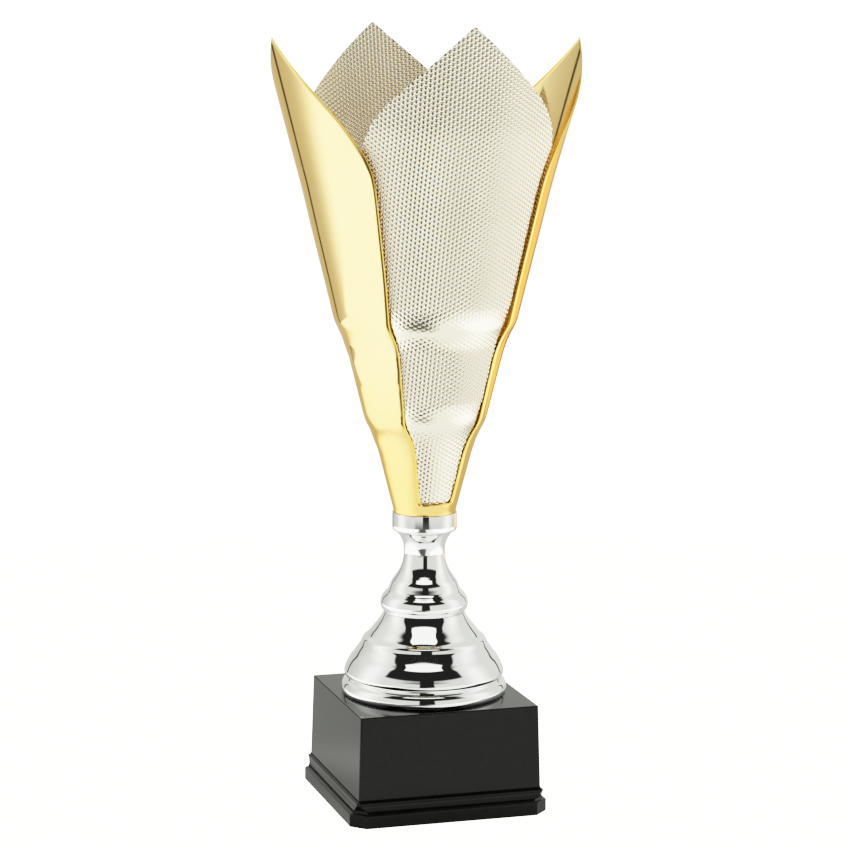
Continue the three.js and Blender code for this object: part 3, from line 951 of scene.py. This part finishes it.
nut_low, nut_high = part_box("base_nut")
NUT_FLAT = min(nut_high.x, nut_high.y) / MM
nut_bottom, nut_top = nut_low.z / MM, nut_high.z / MM
nut = [
    circle(ROD_HOLE - THREAD_BITE, nut_top - BORE_CHAMFER, NUT_SIDES),
    circle(ROD_HOLE - THREAD_BITE, nut_bottom + BORE_CHAMFER, NUT_SIDES),
    circle(ROD_HOLE + BORE_FLARE, nut_bottom, NUT_SIDES),
    *nut_rings(NUT_FLAT, nut_bottom, nut_top),
    circle(ROD_HOLE + BORE_FLARE, nut_top, NUT_SIDES),
]
make_piece("base_nut", *join_rings(nut), "zinc_steel", ZINC)

dome_low, dome_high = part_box("dome_nut")
dome_bottom, dome_top = dome_low.z / MM, dome_high.z / MM
dome_shoulder = dome_bottom + 5.0
dome_radius = NUT_FLAT - 0.2
dome = [
    circle(0.01, dome_top - 1.6, NUT_SIDES),
    circle(ROD_HOLE - THREAD_BITE, dome_top - 2.6, NUT_SIDES),
    circle(ROD_HOLE - THREAD_BITE, dome_bottom + BORE_CHAMFER, NUT_SIDES),
    circle(ROD_HOLE + BORE_FLARE, dome_bottom, NUT_SIDES),
    *nut_rings(NUT_FLAT, dome_bottom, dome_shoulder),
    circle(dome_radius, dome_shoulder + 0.02, NUT_SIDES),
]
for r, z in arc((0, dome_top - dome_radius), dome_radius, 0, 89.9, 14):
    dome.append(circle(r, z, NUT_SIDES))
make_piece("dome_nut", *join_rings(dome, closed=False), "chrome_plate", CHROME)


def washer(name, edge=0.25):
    """A flat washer with softened edges, in the place of its CAD node."""
    low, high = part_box(name)
    outer = high.x / MM
    bottom, top = low.z / MM, high.z / MM
    outline = [
        (ROD_HOLE, bottom + edge),
        (ROD_HOLE + edge, bottom),
        (outer - edge, bottom),
        (outer - edge * 0.3, bottom + edge * 0.3),
        (outer, bottom + edge),
        (outer, top - edge),
        (outer - edge * 0.3, top - edge * 0.3),
        (outer - edge, top),
        (ROD_HOLE + edge, top),
        (ROD_HOLE, top - edge),
    ]
    make_piece(name, *turned(outline, WASHER_SEGMENTS), "zinc_steel", ZINC)


washer("cup_clamp_washer")
washer("base_washer")


def split_washer():
    """A spring washer: a square-section ring, cut once on the +X side and slightly sprung."""
    low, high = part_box("lock_washer")
    outer = high.y / MM
    bottom, top = low.z / MM + 0.1, high.z / MM - 0.1
    gap = 0.09
    edge = 0.15
    outline = [
        (ROD_HOLE, bottom + edge), (ROD_HOLE + edge, bottom), (outer - edge, bottom), (outer, bottom + edge),
        (outer, top - edge), (outer - edge, top), (ROD_HOLE + edge, top), (ROD_HOLE, top - edge),
    ]
    steps = 72
    rings = []
    for i in range(steps + 1):
        angle = gap + (2 * math.pi - 2 * gap) * i / steps
        lift = 0.1 * (2 * i / steps - 1)
        rings.append([(r * math.cos(angle), r * math.sin(angle), z + lift) for r, z in outline])
    points, faces = join_rings(rings, closed=False)
    count = len(outline)
    faces.append(tuple(range(count)))
    faces.append(tuple(steps * count + i for i in range(count)))
    make_piece("lock_washer", points, faces, "zinc_steel", ZINC)


split_washer()


# ---------- floor, light and camera ----------

CAMERA_AZIMUTH = math.radians(-16.86)
CAMERA_DISTANCE = 1.9129
CAMERA_HEIGHT = 0.5606
CAMERA_TILT = math.radians(-8.94)
CAMERA_ROLL = math.radians(0.29)
CAMERA_LENS = 120.57
FLOOR_RADIUS = 0.95
FRONT_GLOW = 1.9
BACK_GLOW = 0.9
POOL_GLOW = 3.3
POOL_MIDDLE = 0.09  # the dimmer middle of the floor is a little right of the trophy
POOL_SIDES = (0.2, 0.42)  # metres to the side where a pool of light starts, and where it is full
POOL_NARROWING = -0.6  # the dim middle widens away from the camera
# Painted shadow: the floor's glow is dimmed round the trophy's foot, in place of the plinth's contact shadow.
DIM_ROUND_FOOT = (0.08, 0.17, 0.4)  # full up to the first radius, gone at the second, down to this share
STREAK_SIDE = 0.11  # a dark strip on the floor in front, this far left of the trophy
STREAK_WIDTH = (0.3, 0.12)
STREAK_REACH = (-0.33, -0.42)
STREAK_DEPTH = 0.95
FLOOR_HEIGHT = -0.05  # millimetres
FLOOR_SEGMENTS = 96
STUDIO_WHITE = (0.975, 1.0, 0.91, 1)  # the faint tint of the tent and the floor in reflections
WARM_WALL = (1.0, 0.6, 0.25, 1)
WALL = 1.22
WHITE = 4.0  # bright enough to show as pure white

camera_data = bpy.data.cameras.new("camera")
camera_data.lens = CAMERA_LENS
camera_data.sensor_width = 36.0
camera_data.clip_end = 20.0
camera = bpy.data.objects.new("camera", camera_data)
bpy.context.scene.collection.objects.link(camera)
camera.matrix_world = (
    Matrix.Rotation(CAMERA_AZIMUTH, 4, "Z")
    @ Matrix.Translation((0, -CAMERA_DISTANCE, CAMERA_HEIGHT))
    @ Matrix.Rotation(math.pi / 2 + CAMERA_TILT, 4, "X")
    @ Matrix.Rotation(CAMERA_ROLL, 4, "Z")
)
bpy.context.scene.camera = camera


def floor_light(surface):
    """Pools of light left and right of the camera's line, and plain white where it is seen directly."""
    across, along, _ = surface.seen_from_camera(surface.place)
    aside = surface.math("ABSOLUTE", surface.math("SUBTRACT", across, POOL_MIDDLE))
    aside = surface.math("MULTIPLY_ADD", surface.math("MAXIMUM", along, 0.0), POOL_NARROWING, aside)
    middle = surface.spread(along, -0.05, 0.15, FRONT_GLOW, BACK_GLOW)
    glow = surface.spread(aside, *POOL_SIDES, middle, POOL_GLOW)
    size = surface.nodes.new("ShaderNodeVectorMath")
    size.operation = "LENGTH"
    surface.links.new(surface.place, size.inputs[0])
    # painted shadow round the trophy's foot
    glow = surface.math("MULTIPLY", glow, surface.spread(size.outputs["Value"], *DIM_ROUND_FOOT))
    streak = surface.math("ABSOLUTE", surface.math("ADD", across, STREAK_SIDE))
    streak = surface.spread(streak, *STREAK_WIDTH, 0.0, STREAK_DEPTH)
    streak = surface.math("MULTIPLY", streak, surface.spread(along, *STREAK_REACH))
    glow = surface.math("MULTIPLY", glow, surface.math("SUBTRACT", 1.0, streak))
    return surface.math("MAXIMUM", glow, surface.math("MULTIPLY", surface.is_camera_ray(), WHITE))


def make_floor():
    """A round table top, a little below the trophy, plain and pale."""
    points = [(0, 0, FLOOR_HEIGHT)]
    points += circle(FLOOR_RADIUS / MM, FLOOR_HEIGHT, FLOOR_SEGMENTS)
    faces = [(0, 1 + i, 1 + (i + 1) % FLOOR_SEGMENTS) for i in range(FLOOR_SEGMENTS)]
    mesh = bpy.data.meshes.new("floor")
    mesh.from_pydata([tuple(MM * value for value in p) for p in points], [], faces)
    surface = Surface("pale_floor", Specular_IOR_Level=0.0)
    surface.colour(surface.noise(0.3), (0.01, 0.01, 0.01), (0.012, 0.012, 0.012))
    surface.shader.inputs["Emission Color"].default_value = STUDIO_WHITE
    surface.links.new(floor_light(surface), surface.shader.inputs["Emission Strength"])
    mesh.materials.append(surface.material)
    floor = bpy.data.objects.new("floor", mesh)
    bpy.context.scene.collection.objects.link(floor)


make_floor()


ALL_ROUND = None
DARK = 0.015
# Each patch of the tent, laid over the ones before it: the directions it covers, to the side and up
# in degrees from the camera's side, how soft its edges are sideways and upwards, and its brightness.
SKY_PATCHES = [
    (ALL_ROUND, (-90, -8), 10, 10, 1.0),  # below the table top
    ((-102, -76), (-60, 46), 34, 34, 2.3),  # lamps at the left and right
    ((76, 102), (-60, 46), 34, 34, 2.3),
    ((-118, -60), (-60, -16), 46, 14, 3.4),  # and their light low down
    ((60, 118), (-60, -16), 46, 14, 3.4),
    ((-165, -118), (-60, 22), 44, 20, 0.85),  # a dimmer wall behind, at the left
    ((-144.5, -140), (-60, 20), 1.5, 1.5, 0.08),  # dark seams of the tent
    ((140, 144.5), (-8, 20), 1.5, 1.5, 0.08),
    ((128, 158), (-50, -8), 10, 10, 2.4),  # a bright patch low behind, at the right
    ((160, 180), (-50, -8), 6, 6, 0.5),
    ((-6, 16), (-40, 32), 2, 2, DARK),  # the opening that the camera looks through
    ((-34, 20), (-40, -8), 12, 12, 0.1),
    ((-64, 64), (29, 90), 5, 5, DARK),  # the open roof
    ((-84, 84), (54, 90), 6, 6, DARK),
    (ALL_ROUND, (73, 100), 8, 8, DARK),
    ((-43, 43), (56, 69), 2, 2, 2.4),  # the lamp over it
]
WARM_PATCH = ((118, 180), (-60, -8), 8, 8)


class Sky(NodeMaths):
    """The white studio tent round the trophy, as light by direction."""

    def __init__(self):
        world = bpy.data.worlds.new("studio")
        world.use_nodes = True
        bpy.context.scene.world = world
        self.nodes = world.node_tree.nodes
        self.links = world.node_tree.links
        self.background = self.nodes["Background"]
        self.output = self.nodes["World Output"]
        direction = self.nodes.new("ShaderNodeTexCoord").outputs["Generated"]
        right, away, up = self.seen_from_camera(direction)
        self.side = self.math("ARCTAN2", right, self.math("MULTIPLY", away, -1))
        self.rise = self.math("ARCSINE", up)

    def within(self, value, low, high, soft):
        """1 between low and high degrees and 0 outside, with soft edges."""
        middle = math.radians((low + high) / 2)
        half = math.radians((high - low) / 2)
        away = self.math("ABSOLUTE", self.math("SUBTRACT", value, middle))
        return self.spread(away, half + math.radians(soft) / 2, half - math.radians(soft) / 2)

    def patch(self, sides, rises, side_soft, rise_soft):
        """1 inside a window of directions and 0 outside it."""
        up = self.within(self.rise, *rises, rise_soft)
        if sides is ALL_ROUND:
            return up
        return self.math("MULTIPLY", self.within(self.side, *sides, side_soft), up)

    def blend(self, under, share, value):
        """under where share is 0, value where it is 1."""
        mix = self.nodes.new("ShaderNodeMix")
        mix.data_type = "FLOAT"
        for name, item in (("Factor", share), ("A", under), ("B", value)):
            self.connect(next(s for s in mix.inputs if s.name == name and s.type == "VALUE"), item)
        return next(s for s in mix.outputs if s.type == "VALUE")

    def light_tent(self):
        """The tent's light by direction, and plain white where the camera sees it directly."""
        light = WALL
        for sides, rises, side_soft, rise_soft, brightness in SKY_PATCHES:
            light = self.blend(light, self.patch(sides, rises, side_soft, rise_soft), brightness)
        tint = self.mixed_colour(self.patch(*WARM_PATCH), STUDIO_WHITE, WARM_WALL)
        self.links.new(tint, self.background.inputs["Color"])
        self.links.new(light, self.background.inputs["Strength"])
        plain = self.nodes.new("ShaderNodeBackground")
        plain.inputs["Color"].default_value = (1, 1, 1, 1)
        plain.inputs["Strength"].default_value = WHITE
        choice = self.nodes.new("ShaderNodeMixShader")
        self.links.new(self.is_camera_ray(), choice.inputs["Fac"])
        self.links.new(self.background.outputs["Background"], choice.inputs[1])
        self.links.new(plain.outputs["Background"], choice.inputs[2])
        self.links.new(choice.outputs["Shader"], self.output.inputs["Surface"])


Sky().light_tent()

SHOULDER_RATE = 1.15
BLEACHED = 3.8  # light this bright shows as white

# A soft shoulder, as film has: bright gold bleaches to cream and the tent to a light grey.
settings = bpy.context.scene.view_settings
settings.view_transform = "Standard"
settings.use_curve_mapping = True
curves = settings.curve_mapping
curves.white_level = (WHITE, WHITE, WHITE)
shoulder = curves.curves[3]
for brightness in (0.1, 0.3, 0.6, 1.0, 1.5, 2.2, 3.0):
    shoulder.points.new(brightness / WHITE, 1 - math.exp(-SHOULDER_RATE * brightness))
shoulder.points[-1].location = (BLEACHED / WHITE, 1.0)
curves.update()
